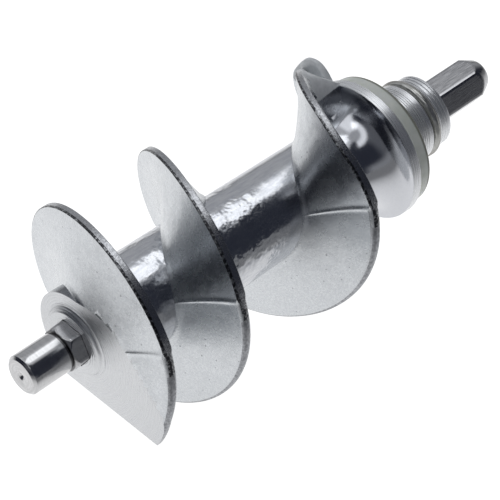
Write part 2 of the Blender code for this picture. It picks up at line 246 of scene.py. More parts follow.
def flight_section(t):
    inside = X_FLANGE_BACK - 0.35 - X_BOSS
    mid = math.sin(math.radians(t - PARTING)) ** 2
    base = lead(t)
    front_rim = base
    if t > LAST_PARTING:
        level = lead(LAST_PARTING)
        sweep = min(1.15, max(0.0, t - SWEEP_START) / SWEEP_SPAN)
        front_rim = level + (FLANGE_AT + 0.2 - level) * sweep ** SWEEP_POWER
        front_rim += 1.15 * smooth((t - 842.0) / 36.0) * (1.0 - smooth((t - 884.0) / 22.0))
        front_rim = min(front_rim, inside - 0.9)
    thickness = 1.6 + 0.5 * (1.0 - mid) ** 2
    radius = rim_radius(t)
    drop = smooth((t - LAND) / (RUN_OUT - LAND))
    radius += (FLANGE_R - 0.6 - radius) * drop
    lean = 4.1 + 1.9 * smooth((t - 500.0) / 270.0)
    front_root = base - lean
    late = smooth((t - 885.0) / (RUN_OUT - 885.0))
    front_root += (FLANGE_AT - 1.5 - front_root) * late
    front_root = min(front_root, front_rim)
    back_rim = min(max(front_rim, 0.0) + thickness, inside)
    draft = 0.6 + 4.5 * mid * (0.55 + 0.45 * smooth((t - 150.0) / 250.0))
    draft *= 1.0 - smooth((t - 815.0) / 40.0)
    back_root = min(max(base, 0.0) + thickness + draft, inside)
    back_root = max(back_root, min(back_rim, inside))
    filled = back_rim + (FLANGE_AT + 0.3 - back_rim) * (radius - CORE_REAR) / max(1.0, radius - 15.0)
    back_root += (max(filled, back_root) - back_root) * smooth((t - 858.0) / 10.0)
    core = core_radius(base)
    root = CORE_REAR - 1.6
    corner = min(0.16 + 0.62 * (1.0 - upper(t)), 0.45 * (back_rim - front_rim)) if back_rim > front_rim + 0.2 else 0.05
    fillet = 1.3

    def face(rim_x, root_x, r, sign):
        k = (radius - r) / (radius - core)
        if sign < 0.0:
            # the pushing face is hollow: flat near the rim, steeper towards the core
            k = 0.45 * k + 0.55 * max(0.0, k) ** 2.2
        x = rim_x + (root_x - rim_x) * k
        u = (r - core) / fillet
        if u < 1.0:
            w = 1.0 - max(u, 0.3)
            x += sign * fillet * 0.8 * (1.0 - math.sqrt(max(0.0, 1.0 - w * w)))
        return min(x, inside)

    rs = [root, core - 0.3, core + 0.12, core + 0.3, core + 0.55, core + 0.9, core + 1.35]
    top = radius - corner
    if top < rs[-1] + 0.5:
        rs = [root + (top - root) * k / 8.0 for k in range(7)]
    rs += [rs[-1] + (top - rs[-1]) * k / 12.0 for k in range(1, 13)]
    pts = [(face(back_rim, back_root, r, 1.0), r) for r in rs]
    for k in range(1, 5):
        a = math.radians(90.0 * k / 5.0)
        pts.append((min(back_rim, inside) - corner * (1.0 - math.cos(a)), top + corner * math.sin(a)))
    xa, xb = min(back_rim, inside) - corner, front_rim + corner
    for k in range(5):
        pts.append((xa + (xb - xa) * k / 4.0, radius))
    for k in range(4, 0, -1):
        a = math.radians(90.0 * k / 5.0)
        pts.append((front_rim + corner * (1.0 - math.cos(a)), top + corner * math.sin(a)))
    # the parting line stands up as a low rib across the pushing face
    rib = 0.0
    for k in (0, 2, 4):
        off = (t - (PARTING + 180.0 * k)) * math.radians(1.0)
        rib = max(rib, math.exp(-(off * 15.0 / 0.32) ** 2))
    for r in reversed(rs):
        fade = smooth((r - core) / 2.0) * smooth((radius - r) / 1.2)
        pts.append((face(front_rim, front_root, r, -1.0) - 0.16 * rib * fade, r))
    return [(X_BOSS + x, r) for x, r in pts]


def flight_object():
    ts = list(np.arange(-75.0, RUN_OUT + 0.01, STEP))
    for k in (0, 2, 4):
        c = PARTING + 180.0 * k
        ts = [t for t in ts if abs(t - c) > 4.0] + [c + d for d in
              (-4, -3, -2.2, -1.6, -1.1, -0.7, -0.35, 0, 0.35, 0.7, 1.1, 1.6, 2.2, 3, 4)]
    ts.sort()
    rings = []
    for t in ts:
        a = math.radians(START - t)
        rings.append([(x, r * math.cos(a), r * math.sin(a)) for x, r in flight_section(t)])
    return loft("flight", rings)


def lug_object():
    """Tongue of the flange that the end of the flight lands on."""
    rings = []
    for ang in 52.6 - 60.6 * np.linspace(0.0, 1.0, 80) ** 1.8:
        if ang > 27.0:
            u = min(1.0, max(0.0, (52.6 - ang) / 13.6))
            r = 14.9 + 5.97 * (1.0 - (1.0 - u) ** 2) ** 0.365
        else:
            r = 20.87 - 6.67 * smooth((27.0 - ang) / 35.0)
        a = math.radians(ang)
        e = 0.9
        x0, x1 = X_FLANGE + 0.12, X_FLANGE + 1.5
        sec = [(x0, 12.0), (x0, r - e), (x0 + 0.16 * e, r - 0.55 * e), (x0 + 0.5 * e, r - 0.16 * e),
               (x0 + e, r), (x1 - 0.3, r), (x1, r - 0.3), (x1, 12.0)]
        rings.append([(x, q * math.cos(a), q * math.sin(a)) for x, q in sec])
    return loft("lug", rings)


# ------------------------------------------------------------------ the turned body
def dish_profile(count):
    rim = FLANGE_R - 0.35
    pts = []
    for a in np.linspace(0.0, 90.0, count):
        c, s = math.cos(math.radians(a)), math.sin(math.radians(a))
        pts.append((X_FLANGE - DISH_DEPTH * (1.0 - c), rim - (rim - CORE_REAR - 0.25) * s))
    return pts


def body_object():
    p = [(X_HUB_BACK, 0.0), (X_HUB_BACK, 7.15), (X_HUB_BACK - 0.12, 7.4), (X_HUB_BACK - 0.35, 7.5)]
    x = X_HUB_BACK - 0.75
    for k in range(3):
        p += [(x, 7.5), (x - 0.14, 7.32), (x - 0.28, 7.5)]
        x -= 0.8
    p += [(X_BAND + 1.25, 7.6), (X_BAND + 1.15, 7.5), (X_BAND + 1.12, 6.3), (X_BAND - 1.12, 6.3),
          (X_BAND - 1.15, 7.85), (X_BAND - 1.3, 8.0)]
    p += [(X_BAND - 2.3, HUB_R)]
    x = X_BAND - 2.5
    while x > X_RING_BACK + 0.95:
        p += [(x, HUB_R), (x - 0.08, HUB_R - 0.1), (x - 0.14, HUB_R - 0.1), (x - 0.22, HUB_R)]
        x -= 0.5
    p += [(X_RING_BACK + 0.4, HUB_R), (X_RING_BACK + 0.02, SPIGOT_R), (X_FLANGE_BACK, SPIGOT_R),
          (X_FLANGE_BACK, FLANGE_R - 0.2), (X_FLANGE_BACK - 0.06, FLANGE_R - 0.06), (X_FLANGE_BACK - 0.2, FLANGE_R),
          (X_FLANGE + 0.28, FLANGE_R), (X_FLANGE + 0.12, FLANGE_R - 0.04), (X_FLANGE + 0.03, FLANGE_R - 0.14),
          (X_FLANGE, FLANGE_R - 0.25)]
    p += dish_profile(36)[0:]
    x_core = X_FLANGE - DISH_DEPTH
    for k in range(1, 48):
        xx = x_core + (X_BOSS + 6.0 - x_core) * k / 47.0
        p.append((xx, core_radius(xx - X_BOSS)))
    p += [(X_BOSS + 3.0, BOSS_R - 0.06), (X_BOSS + 1.5, BOSS_R), (X_BOSS - 0.8, BOSS_R), (X_BOSS - 0.8, 0.0)]
    return revolve("screw_casting_fine", p, SEG)


def collar_object():
    """Small collar round the bar, standing on the faced-off front."""
    p = [(X_BOSS + 2.0, 0.0), (X_BOSS + 2.0, 7.0), (X_BOSS + 0.3, 7.78), (X_BOSS - 0.03, 7.6), (X_BOSS - 0.13, 7.32),
         (X_BOSS - 0.4, 7.05), (X_BOSS - 0.75, 6.75), (X_COLLAR + 0.12, 6.5), (X_COLLAR, 6.3), (X_COLLAR, 0.0)]
    return revolve("collar", p, SEG)


body = body_object()
flight = flight_object()
cut_front = block("cut_front", (X_BOSS - 30.0, -30.0, -30.0), (X_BOSS, 30.0, 30.0))
cut_tip = block("cut_tip", (X_BOSS - 0.05, -26.0, -30.0), (X_BOSS + 3.4, 26.0, TIP_CUT_Z))
boolean(flight, cut_tip, "DIFFERENCE")
boolean(body, [flight, lug_object()], "UNION")
boolean(body, cut_front, "DIFFERENCE")
boolean(body, collar_object(), "UNION")
bore = loft("bore", [hex_ring(X_COLLAR - 5.0, HEX_AF + 0.2), hex_ring(X_HUB_BACK + 5.0, HEX_AF + 0.2)])
boolean(body, bore, "DIFFERENCE")
casting = body


def drop_slivers(obj):
    """Take out the slivers without thickness that a union can leave along a seam."""
    bm = bmesh.new()
    bm.from_mesh(obj.data)
    bmesh.ops.dissolve_degenerate(bm, dist=2e-7, edges=bm.edges)
    bm.verts.index_update()
    by_corners = {}
    for f in bm.faces:
        by_corners.setdefault(frozenset(v.index for v in f.verts), []).append(f)
    twins = [f for same in by_corners.values() if len(same) > 1 for f in same]
    bmesh.ops.delete(bm, geom=twins, context="FACES_ONLY")
    bm.to_mesh(obj.data)
    bm.free()


drop_slivers(casting)
casting.name = "worm_casting"


# ------------------------------------------------------------------ zones of the casting
ZONES = ("cast", "core", "rim", "faced", "hub", "dish", "boss_side", "tongue", "rim_low", "rim_edge")


def zone_faces(obj):
    me = obj.data
    n = len(me.polygons)
    c = np.zeros(n * 3)
    nm = np.zeros(n * 3)
    me.polygons.foreach_get("center", c)
    me.polygons.foreach_get("normal", nm)
    c = c.reshape(-1, 3) / MM
    nm = nm.reshape(-1, 3)
    r = np.hypot(c[:, 1], c[:, 2])
    x = c[:, 0] - X_BOSS
    radial = (nm[:, 1] * c[:, 1] + nm[:, 2] * c[:, 2]) / np.maximum(r, 1e-6)
    zone = np.zeros(n, int)
    core = CORE_FRONT + (CORE_REAR - CORE_FRONT) * np.clip(x / FLANGE_AT, 0, 1)
    zone[(x > 0.5) & (x < FLANGE_AT - DISH_DEPTH + 0.5) & (r < core + 0.12) & (radial > 0.9)] = 1
    dish_r = FLANGE_R - 0.35 - (FLANGE_R - 0.6 - CORE_REAR) * np.sqrt(np.clip(
        1.0 - (1.0 - (FLANGE_AT - x) / DISH_DEPTH) ** 2, 0, 1))
    zone[(x > FLANGE_AT - DISH_DEPTH) & (x < FLANGE_AT + 0.05) & (np.abs(r - dish_r) < 0.2) & (nm[:, 0] < 0.3)] = 5
    # rim: the outer skin of the flight on the upper half
    ang = np.degrees(np.arctan2(c[:, 2], c[:, 1]))
    ts = np.array([rim_radius(t) for t in np.arange(0, 960, 5.0)])
    best = np.full(n, 99.0)
    low = np.full(n, 99.0)
    edge = np.zeros(n, bool)
    stations = np.arange(0, 960, 5.0)
    fronts = [max(0.0, flight_section(q)[27][0] - X_BOSS) for q in stations]
    for turn in range(3):
        t = (START - ang) % 360.0 + 360.0 * turn
        L = np.interp(t, np.arange(0, 960, 10.0), [flight_section(q)[23][0] - X_BOSS for q in np.arange(0, 960, 10.0)])
        R = np.interp(t, np.arange(0, 960, 5.0), ts)
        k = (t - PARTING) % 360.0
        ok = (np.abs(x - L) < 4.5) & ((k > 350.0) | (k < 181.0))
        best = np.where(ok, np.minimum(best, np.abs(R - r)), best)
        edge |= ok & (np.abs(R - r) < 0.2) & (np.abs(x - np.interp(t, stations, fronts)) < 0.36)
        low = np.where(~ok & (np.abs(x - L) < 4.5), np.minimum(low, np.abs(R - r)), low)
    zone[(best < 0.12) & (radial > 0.75) & (x < FLANGE_AT)] = 2
    zone[(low < 0.5) & (radial > 0.35) & (x < FLANGE_AT - 2.0)] = 8
    zone[edge & (radial > 0.3) & (x < FLANGE_AT - 1.0)] = 9
    zone[(np.abs(x) < 0.08) & (nm[:, 0] < -0.93)] = 3
    zone[(x < -0.01)] = 3
    zone[(x > 0.0) & (x < 3.4) & (r > BOSS_R - 0.25) & (r < BOSS_R + 0.1) & (radial > 0.9)] = 6
    zone[(x > FLANGE_AT + 0.2) & (r < FLANGE_R + 0.05)] = 4
    zone[(x > FLANGE_AT - 5.5) & (r > FLANGE_R + 0.06) & (ang > 22.0) & (ang < 60.0) & (nm[:, 0] > -2.0)
         & ~((nm[:, 0] < -0.2) & (x < FLANGE_AT - 0.3))] = 7
    zone[(x > FLANGE_AT - 7.5) & (x < FLANGE_AT + 0.1) & (r > FLANGE_R + 0.06) & (ang > 56.0) & (ang < 76.0)
         & (nm[:, 0] > -0.2) & (radial < 0.75)] = 7
    me.polygons.foreach_set("material_index", zone.astype(np.int32))
    return zone


zones = zone_faces(casting)
casting.data.shade_smooth()
casting.data.set_sharp_from_angle(angle=math.radians(24.0))


def steady_normals(obj, zone):
    """Shade by face area, and give the turned surfaces the normals of true turned surfaces."""
    mod = obj.modifiers.new("weighted", "WEIGHTED_NORMAL")
    mod.mode = "FACE_AREA"
    mod.weight = 60
    mod.keep_sharp = True
    apply_modifiers(obj)
    me = obj.data
    n = len(me.loops)
    out = np.zeros(n * 3)
    me.corner_normals.foreach_get("vector", out)
    out = out.reshape(-1, 3)
    vi = np.zeros(n, int)
    me.loops.foreach_get("vertex_index", vi)
    co = np.zeros(len(me.vertices) * 3)
    me.vertices.foreach_get("co", co)
    co = co.reshape(-1, 3)[vi] / MM
    per = np.zeros(len(me.polygons), int)
    me.polygons.foreach_get("loop_total", per)
    z = np.repeat(zone, per)
    r = np.maximum(np.hypot(co[:, 1], co[:, 2]), 1e-6)
    radial = np.stack([np.zeros(n), co[:, 1] / r, co[:, 2] / r], 1)
    x = co[:, 0] - X_BOSS
    # core: a slight taper
    taper = (CORE_FRONT - CORE_REAR) / FLANGE_AT
    core_n = radial + np.array([taper, 0.0, 0.0])
    # dish: quarter ellipse between the flange edge and the core
    a, b = DISH_DEPTH, FLANGE_R - 0.6 - CORE_REAR
    rim = FLANGE_R - 0.35
    c = 1.0 - (FLANGE_AT - x) / a
    sn = (rim - r) / b
    dish_n = radial * (sn / b)[:, None] + np.stack([-c / a, np.zeros(n), np.zeros(n)], 1)
    for mask, nn in ((z == 1, core_n), (z == 5, dish_n)):
        nn = nn / np.maximum(np.linalg.norm(nn, axis=1, keepdims=True), 1e-9)
        out[mask] = nn[mask]
    me.normals_split_custom_set([tuple(v) for v in out])


steady_normals(casting, zones)


# ------------------------------------------------------------------ drive shaft
def shaft_object():
    """Hexagonal bar with a ground journal, a turned relief and turned ends."""
    corner = HEX_AF / math.sqrt(3.0)
    per = 16
    x_root = X_TIP + 9.0

    def section(x, limit):
        ring = []
        for (_, y, z) in hex_ring(x, HEX_AF, points=per):
            q = math.hypot(y, z)
            # corners of the drawn bar are just rounded
            k = min(1.0, (corner - 0.07) / q, limit / q)
            ring.append((x, y * k, z * k))
        return ring

    def circle(x, r):
        ring = []
        for (_, y, z) in hex_ring(x, HEX_AF, points=per):
            q = math.hypot(y, z)
            ring.append((x, y * r / q, z * r / q))
        return ring

    rings = [circle(X_END, 2.7), circle(X_END - 0.06, 2.92), circle(X_END - 0.2, 3.05)]
    for k in range(1, 15):
        x = X_END - 0.2 - 3.9 * k / 14.0
        rings.append(section(x, 3.05 + (corner - 2.95) * (k / 14.0) ** 0.9))
    for k in range(1, 9):
        rings.append(section(X_END - 4.1 + (x_root + 1.1 - X_END + 4.1) * k / 8.0, 9.0))
    for k in range(1, 9):
        rings.append(section(x_root + 1.1 - 1.1 * k / 8.0, corner - 0.66 * (k / 8.0) ** 1.3))
    rings += [circle(x_root - 0.02, 4.12), circle(x_root - 0.06, 3.9), circle(x_root - 0.1, 3.82),
              circle(x_root - 0.42, 3.82), circle(x_root - 0.5, 3.9), circle(x_root - 0.56, 3.98)]
    for k in range(1, 9):
        rings.append(circle(x_root - 0.56 + (X_TIP + 0.62 - x_root + 0.56) * k / 8.0, 4.0))
    rings += [circle(X_TIP + 0.5, 3.97), circle(X_TIP + 0.08, 3.55), circle(X_TIP, 3.42), circle(X_TIP, 2.4),
              circle(X_TIP, 0.95), circle(X_TIP + 0.06, 0.82), circle(X_TIP + 0.5, 0.25)]
    obj = loft("steel_bar", rings)
    obj.data.shade_smooth()
    obj.data.set_sharp_from_angle(angle=math.radians(26.0))
    return obj


bar = shaft_object()


# ------------------------------------------------------------------ rings
def sealing_ring():
    bore_r = 8.48
    p = [(X_RING_BACK, bore_r + 0.1), (X_RING_BACK, RING_R - 0.95)]
    for a in np.linspace(0, 90, 9):
        p.append((X_RING_BACK - 0.7 + 0.7 * math.cos(math.radians(a)), RING_R - 0.7 + 0.7 * math.sin(math.radians(a))))
    p += [(X_RING_BACK - 1.5, RING_R), (X_RING_FRONT + 0.25, RING_R), (X_RING_FRONT + 0.08, RING_R - 0.06),
          (X_RING_FRONT, RING_R - 0.22), (X_RING_FRONT, bore_r + 0.1), (X_RING_FRONT + 0.1, bore_r),
          (X_RING_BACK - 0.1, bore_r)]
    obj = revolve("pale_ring", p, SEG, closed=True)
    obj.data.shade_smooth()
    obj.data.set_sharp_from_angle(angle=math.radians(30.0))
    return obj


def groove_ring():
    sec = 0.97
    major = BAND_R - sec
    p = [(X_BAND + sec * math.cos(math.radians(a)), major + sec * math.sin(math.radians(a)))
         for a in np.linspace(0, 360, 29)[:-1]]
    obj = revolve("amber_band", p, SEG, closed=True)
    obj.data.shade_smooth()
    return obj


ring = sealing_ring()
band = groove_ring()


# ------------------------------------------------------------------ materials
class Tree:
    """Small helper to wire shader nodes."""

    def __init__(self, mat):
        self.nt = mat.node_tree
        self.bsdf = self.nt.nodes["Principled BSDF"]

    def node(self, kind, **inputs):
        nd = self.nt.nodes.new(kind)
        for key, value in inputs.items():
            self.set(nd, key, value)
        return nd

    def set(self, nd, key, value):
        sock = nd.inputs[key] if not isinstance(key, str) or key in nd.inputs else nd.inputs[int(key[1:])]
        if isinstance(value, bpy.types.NodeSocket):
            self.nt.links.new(value, sock)
        else:
            sock.default_value = value

    def math(self, op, a, b=0.0, c=None, clamp=False):
        nd = self.nt.nodes.new("ShaderNodeMath")
        nd.operation = op
        nd.use_clamp = clamp
        for i, v in enumerate((a, b, c)):
            if v is None:
                continue
            if isinstance(v, bpy.types.NodeSocket):
                self.nt.links.new(v, nd.inputs[i])
            else:
                nd.inputs[i].default_value = v
        return nd.outputs[0]

    def ramp(self, value, lo, hi, a=0.0, b=1.0):
        nd = self.nt.nodes.new("ShaderNodeMapRange")
        nd.interpolation_type = "SMOOTHSTEP"
        for i, v in enumerate((value, lo, hi, a, b)):
            if isinstance(v, bpy.types.NodeSocket):
                self.nt.links.new(v, nd.inputs[i])
            else:
                nd.inputs[i].default_value = v
        return nd.outputs[0]

    def mix(self, f, a, b):
        nd = self.nt.nodes.new("ShaderNodeMix")
        nd.data_type = "RGBA"
        for key, v in ((0, f), (6, a), (7, b)):
            if isinstance(v, bpy.types.NodeSocket):
                self.nt.links.new(v, nd.inputs[key])
            else:
                nd.inputs[key].default_value = v if not isinstance(v, tuple) or len(v) == 4 else (*v, 1.0)
        return nd.outputs[2]

    def coords(self):
        tc = self.nt.nodes.new("ShaderNodeTexCoord")
        scale = self.nt.nodes.new("ShaderNodeVectorMath")
        scale.operation = "SCALE"
        self.nt.links.new(tc.outputs["Object"], scale.inputs[0])
        scale.inputs[3].default_value = 1000.0
        sep = self.nt.nodes.new("ShaderNodeSeparateXYZ")
        self.nt.links.new(scale.outputs[0], sep.inputs[0])
        self.p = scale.outputs[0]
        self.x, self.y, self.z = sep.outputs
        self.r = self.math("SQRT", self.math("ADD", self.math("MULTIPLY", self.y, self.y),
                                             self.math("MULTIPLY", self.z, self.z)))
        self.ang = self.math("ARCTAN2", self.z, self.y)

    def vector(self, x, y, z):
        nd = self.nt.nodes.new("ShaderNodeCombineXYZ")
        for i, v in enumerate((x, y, z)):
            if isinstance(v, bpy.types.NodeSocket):
                self.nt.links.new(v, nd.inputs[i])
            else:
                nd.inputs[i].default_value = v
        return nd.outputs[0]

    def noise(self, vec, scale, detail=3.0, rough=0.55, dist=0.0):
        nd = self.nt.nodes.new("ShaderNodeTexNoise")
        self.nt.links.new(vec, nd.inputs["Vector"])
        nd.inputs["Scale"].default_value = scale
        nd.inputs["Detail"].default_value = detail
        nd.inputs["Roughness"].default_value = rough
        nd.inputs["Distortion"].default_value = dist
        return nd.outputs[0]

    def voronoi(self, vec, scale, feature="F1"):
        nd = self.nt.nodes.new("ShaderNodeTexVoronoi")
        nd.feature = feature
        self.nt.links.new(vec, nd.inputs["Vector"])
        nd.inputs["Scale"].default_value = scale
        return nd.outputs[0]

    def bump(self, height, strength, distance_mm, normal=None):
        nd = self.nt.nodes.new("ShaderNodeBump")
        nd.inputs["Strength"].default_value = strength
        nd.inputs["Distance"].default_value = distance_mm * MM
        self.nt.links.new(height, nd.inputs["Height"])
        if normal is not None:
            self.nt.links.new(normal, nd.inputs["Normal"])
        return nd.outputs[0]


def new_material(name, colour, rough, metallic):
    mat = bpy.data.materials.new(name)
    mat.use_nodes = True
    t = Tree(mat)
    t.coords()
    t.bsdf.inputs["Base Color"].default_value = (*colour, 1.0)
    t.bsdf.inputs["Roughness"].default_value = rough
    t.bsdf.inputs["Metallic"].default_value = metallic
    return mat, t


def mat_cast():
    """Die-cast face, tumbled: satin, faint mottling, tiny pits, soft waviness."""
    mat, t = new_material("cast_satin", (0.60, 0.62, 0.65), 0.33, 1.0)
    big = t.noise(t.p, 0.16, 2.0)
    fine = t.noise(t.p, 2.6, 4.0, 0.65)
    grain = t.noise(t.p, 7.0, 2.0, 0.6)
    pits = t.ramp(t.voronoi(t.p, 0.55), 0.035, 0.11, 1.0, 0.0)
    tone = t.mix(t.ramp(fine, 0.3, 0.75), (0.58, 0.60, 0.625), (0.70, 0.72, 0.735))
    tone = t.mix(t.math("MULTIPLY", pits, 0.55), tone, (0.16, 0.165, 0.18))
    # painted shade: darker on the upper part of the last turn and behind the flights
    deg = t.math("ADD", t.math("MULTIPLY", t.ang, 180.0 / math.pi), t.math("MULTIPLY", t.noise(t.p, 0.25, 2.0), 14.0))
    lean_in = t.math("MULTIPLY", t.math("SUBTRACT", 22.0, t.r), 1.6)
    upper_shade = t.math("MULTIPLY", t.ramp(t.math("SUBTRACT", deg, lean_in), 88.0, 112.0), t.ramp(deg, 158.0, 146.0, 0.0, 1.0))
    upper_shade = t.math("MULTIPLY", upper_shade, t.ramp(t.x, X_BOSS + 40.0, X_BOSS + 44.0))
    tone = t.mix(t.math("MULTIPLY", upper_shade, 0.58), tone, (0.10, 0.105, 0.125))
    # painted shade: faces turned towards +X, the rear faces behind the flights, are coloured darker
    geo = t.nt.nodes.new("ShaderNodeNewGeometry")
    gn = t.nt.nodes.new("ShaderNodeSeparateXYZ")
    t.nt.links.new(geo.outputs["Normal"], gn.inputs[0])
    rear_shade = t.ramp(gn.outputs[0], 0.35, 0.65)
    tone = t.mix(t.math("MULTIPLY", rear_shade, 0.3), tone, (0.30, 0.305, 0.32))
    t.set(t.bsdf, "Base Color", tone)
    t.set(t.bsdf, "Roughness", t.ramp(t.noise(t.p, 0.5, 3.0), 0.25, 0.75, 0.20, 0.32))
    b = t.bump(big, 0.08, 1.2)
    b = t.bump(fine, 0.25, 0.10, b)
    b = t.bump(grain, 0.25, 0.03, b)
    b = t.bump(t.math("SUBTRACT", 1.0, pits), 0.6, 0.05, b)
    t.set(t.bsdf, "Normal", b)
    return mat


def mat_core():
    """Core between the flights: burnished, with faint lengthwise smears."""
    mat, t = new_material("core_burnished", (0.60, 0.615, 0.64), 0.16, 1.0)
    arc_mm = t.math("MULTIPLY", t.ang, 9.2)
    streak = t.noise(t.vector(t.math("MULTIPLY", t.x, 0.25), arc_mm, 0.0), 1.2, 4.0, 0.6)
    fine = t.noise(t.p, 3.0, 4.0, 0.6)
    t.set(t.bsdf, "Base Color", t.mix(t.ramp(streak, 0.3, 0.7), (0.54, 0.555, 0.59), (0.64, 0.65, 0.67)))
    t.set(t.bsdf, "Roughness", t.ramp(fine, 0.3, 0.75, 0.12, 0.26))
    where = t.math("MULTIPLY", t.ramp(t.x, X_BOSS + 8.0, X_BOSS + 22.0), t.ramp(t.x, X_BOSS + 46.0, X_BOSS + 39.0, 0.0, 1.0))
    ripple = t.math("MULTIPLY", t.noise(t.p, 0.36, 2.0), t.math("ADD", 0.15, where))
    b = t.bump(ripple, 0.55, 0.55)
    b = t.bump(streak, 0.15, 0.06, b)
    b = t.bump(fine, 0.3, 0.03, b)
    t.set(t.bsdf, "Normal", b)
    return mat


def mat_dish():
    """Turned hollow: close to a mirror, with very fine tool lines."""
    mat, t = new_material("dish_polished", (0.58, 0.59, 0.615), 0.10, 1.0)
    lines = t.noise(t.vector(t.math("MULTIPLY", t.r, 6.0), t.math("MULTIPLY", t.x, 6.0), t.math("MULTIPLY", t.ang, 0.6)), 1.0, 3.0)
    fine = t.noise(t.p, 2.2, 3.0, 0.6)
    t.set(t.bsdf, "Base Color", t.mix(fine, (0.55, 0.56, 0.60), (0.63, 0.64, 0.66)))
    t.set(t.bsdf, "Roughness", t.ramp(lines, 0.2, 0.8, 0.08, 0.18))
    b = t.bump(lines, 0.25, 0.012)
    b = t.bump(fine, 0.2, 0.03, b)
    t.set(t.bsdf, "Normal", b)
    return mat


def mat_rim():
    """Trimmed rim: smooth on top, torn and pitted lower down, with painted shade that makes it darker on top and
    lighter lower down.
    """
    mat, t = new_material("rim_trimmed", (0.56, 0.57, 0.59), 0.24, 1.0)
    side = t.ramp(t.math("ADD", t.z, t.math("MULTIPLY", t.noise(t.p, 0.35, 2.0), 6.0)), 17.0, 9.0)
    grain = t.noise(t.p, 2.6, 5.0, 0.75)
    pits = t.ramp(grain, 0.45, 0.57, 1.0, 0.0)
    torn = t.math("MULTIPLY", pits, t.math("ADD", 0.35, t.math("MULTIPLY", side, 0.6)))
    # painted shade: darker towards the top of the rim, lighter lower down
    shade = t.mix(side, (0.52, 0.53, 0.55), (0.66, 0.67, 0.68))
    t.set(t.bsdf, "Base Color", t.mix(torn, shade, (0.06, 0.06, 0.065)))
    # bright torn crumbs low down on the rim
    crumbs = t.math("MULTIPLY", t.ramp(t.noise(t.p, 3.4, 3.0, 0.6), 0.58, 0.66), side)
    t.set(t.bsdf, "Metallic", t.math("SUBTRACT", 1.0, t.math("MULTIPLY", crumbs, 0.75)))
    t.set(t.bsdf, "Roughness", t.ramp(grain, 0.3, 0.7, 0.34, 0.18))
    amount = t.math("ADD", 0.18, t.math("MULTIPLY", side, 0.75))
    nd = t.nt.nodes.new("ShaderNodeBump")
    nd.inputs["Distance"].default_value = 0.22 * MM
    t.nt.links.new(amount, nd.inputs["Strength"])
    t.nt.links.new(grain, nd.inputs["Height"])
    t.set(t.bsdf, "Normal", nd.outputs[0])
    return mat


def mat_rim_low():
    """Rounded rim of the lower half, as it left the mould: painted shade makes it darker than the faces; faintly
    grained.
    """
    mat, t = new_material("rim_low_shaded", (0.36, 0.37, 0.39), 0.3, 1.0)
    grain = t.noise(t.p, 2.0, 4.0, 0.7)
    t.set(t.bsdf, "Base Color", t.mix(t.ramp(grain, 0.35, 0.65), (0.24, 0.245, 0.26), (0.46, 0.47, 0.49)))
    t.set(t.bsdf, "Normal", t.bump(grain, 0.35, 0.08))
    return mat


def mat_rim_edge():
    """Front corner of the trimmed rim: a dark, uneven line."""
    mat, t = new_material("rim_edge", (0.16, 0.16, 0.17), 0.34, 1.0)
    grain = t.noise(t.p, 1.6, 4.0, 0.7)
    t.set(t.bsdf, "Base Color", t.mix(t.ramp(grain, 0.48, 0.62), (0.05, 0.05, 0.055), (0.42, 0.43, 0.44)))
    t.set(t.bsdf, "Normal", t.bump(grain, 0.5, 0.15))
    return mat


def mat_faced():
    """Faced-off front: rings left by the lathe tool."""
    mat, t = new_material("faced_rings", (0.62, 0.635, 0.655), 0.28, 1.0)
    wob = t.noise(t.p, 0.5, 2.0)
    rr = t.math("ADD", t.r, t.math("MULTIPLY", wob, 0.25))
    rings = t.math("SINE", t.math("MULTIPLY", rr, 11.0))
    fine = t.noise(t.vector(t.math("MULTIPLY", t.r, 9.0), t.math("MULTIPLY", t.ang, 1.4), 0.0), 1.0, 3.0)
    t.set(t.bsdf, "Base Color", t.mix(t.ramp(fine, 0.3, 0.7), (0.60, 0.61, 0.63), (0.74, 0.75, 0.76)))
    t.set(t.bsdf, "Roughness", t.ramp(fine, 0.3, 0.7, 0.24, 0.36))
    t.bsdf.inputs["Anisotropic"].default_value = 0.7
    tan = t.vector(0.0, t.math("MULTIPLY", t.math("SINE", t.ang), -1.0), t.math("COSINE", t.ang))
    t.set(t.bsdf, "Tangent", tan)
    b = t.bump(rings, 0.45, 0.05)
    b = t.bump(fine, 0.6, 0.05, b)
    t.set(t.bsdf, "Normal", b)
    return mat


def mat_hub():
    """Turned hub and flange edge."""
    mat, t = new_material("hub_turned", (0.60, 0.61, 0.63), 0.16, 1.0)
    lines = t.noise(t.vector(t.math("MULTIPLY", t.x, 14.0), t.math("MULTIPLY", t.r, 10.0), t.math("MULTIPLY", t.ang, 0.8)), 1.0, 3.0, 0.6)
    fine = t.noise(t.p, 3.0, 4.0, 0.7)
    t.set(t.bsdf, "Base Color", t.mix(t.ramp(lines, 0.3, 0.7), (0.70, 0.71, 0.73), (0.88, 0.89, 0.90)))
    t.set(t.bsdf, "Metallic", 0.72)
    t.set(t.bsdf, "Roughness", t.ramp(lines, 0.25, 0.75, 0.22, 0.36))
    b = t.bump(lines, 0.35, 0.02)
    b = t.bump(fine, 0.2, 0.03, b)
    t.set(t.bsdf, "Normal", b)
    return mat


def mat_boss():
    # painted shade: the side wall of the boss, in the narrow step where the flights meet it, is coloured dark
    mat, t = new_material("boss_side", (0.42, 0.43, 0.45), 0.16, 1.0)
    fine = t.noise(t.p, 2.6, 4.0, 0.65)
    t.set(t.bsdf, "Base Color", t.mix(t.ramp(fine, 0.3, 0.75), (0.22, 0.225, 0.24), (0.36, 0.37, 0.39)))
    t.set(t.bsdf, "Normal", t.bump(fine, 0.3, 0.08))
    return mat


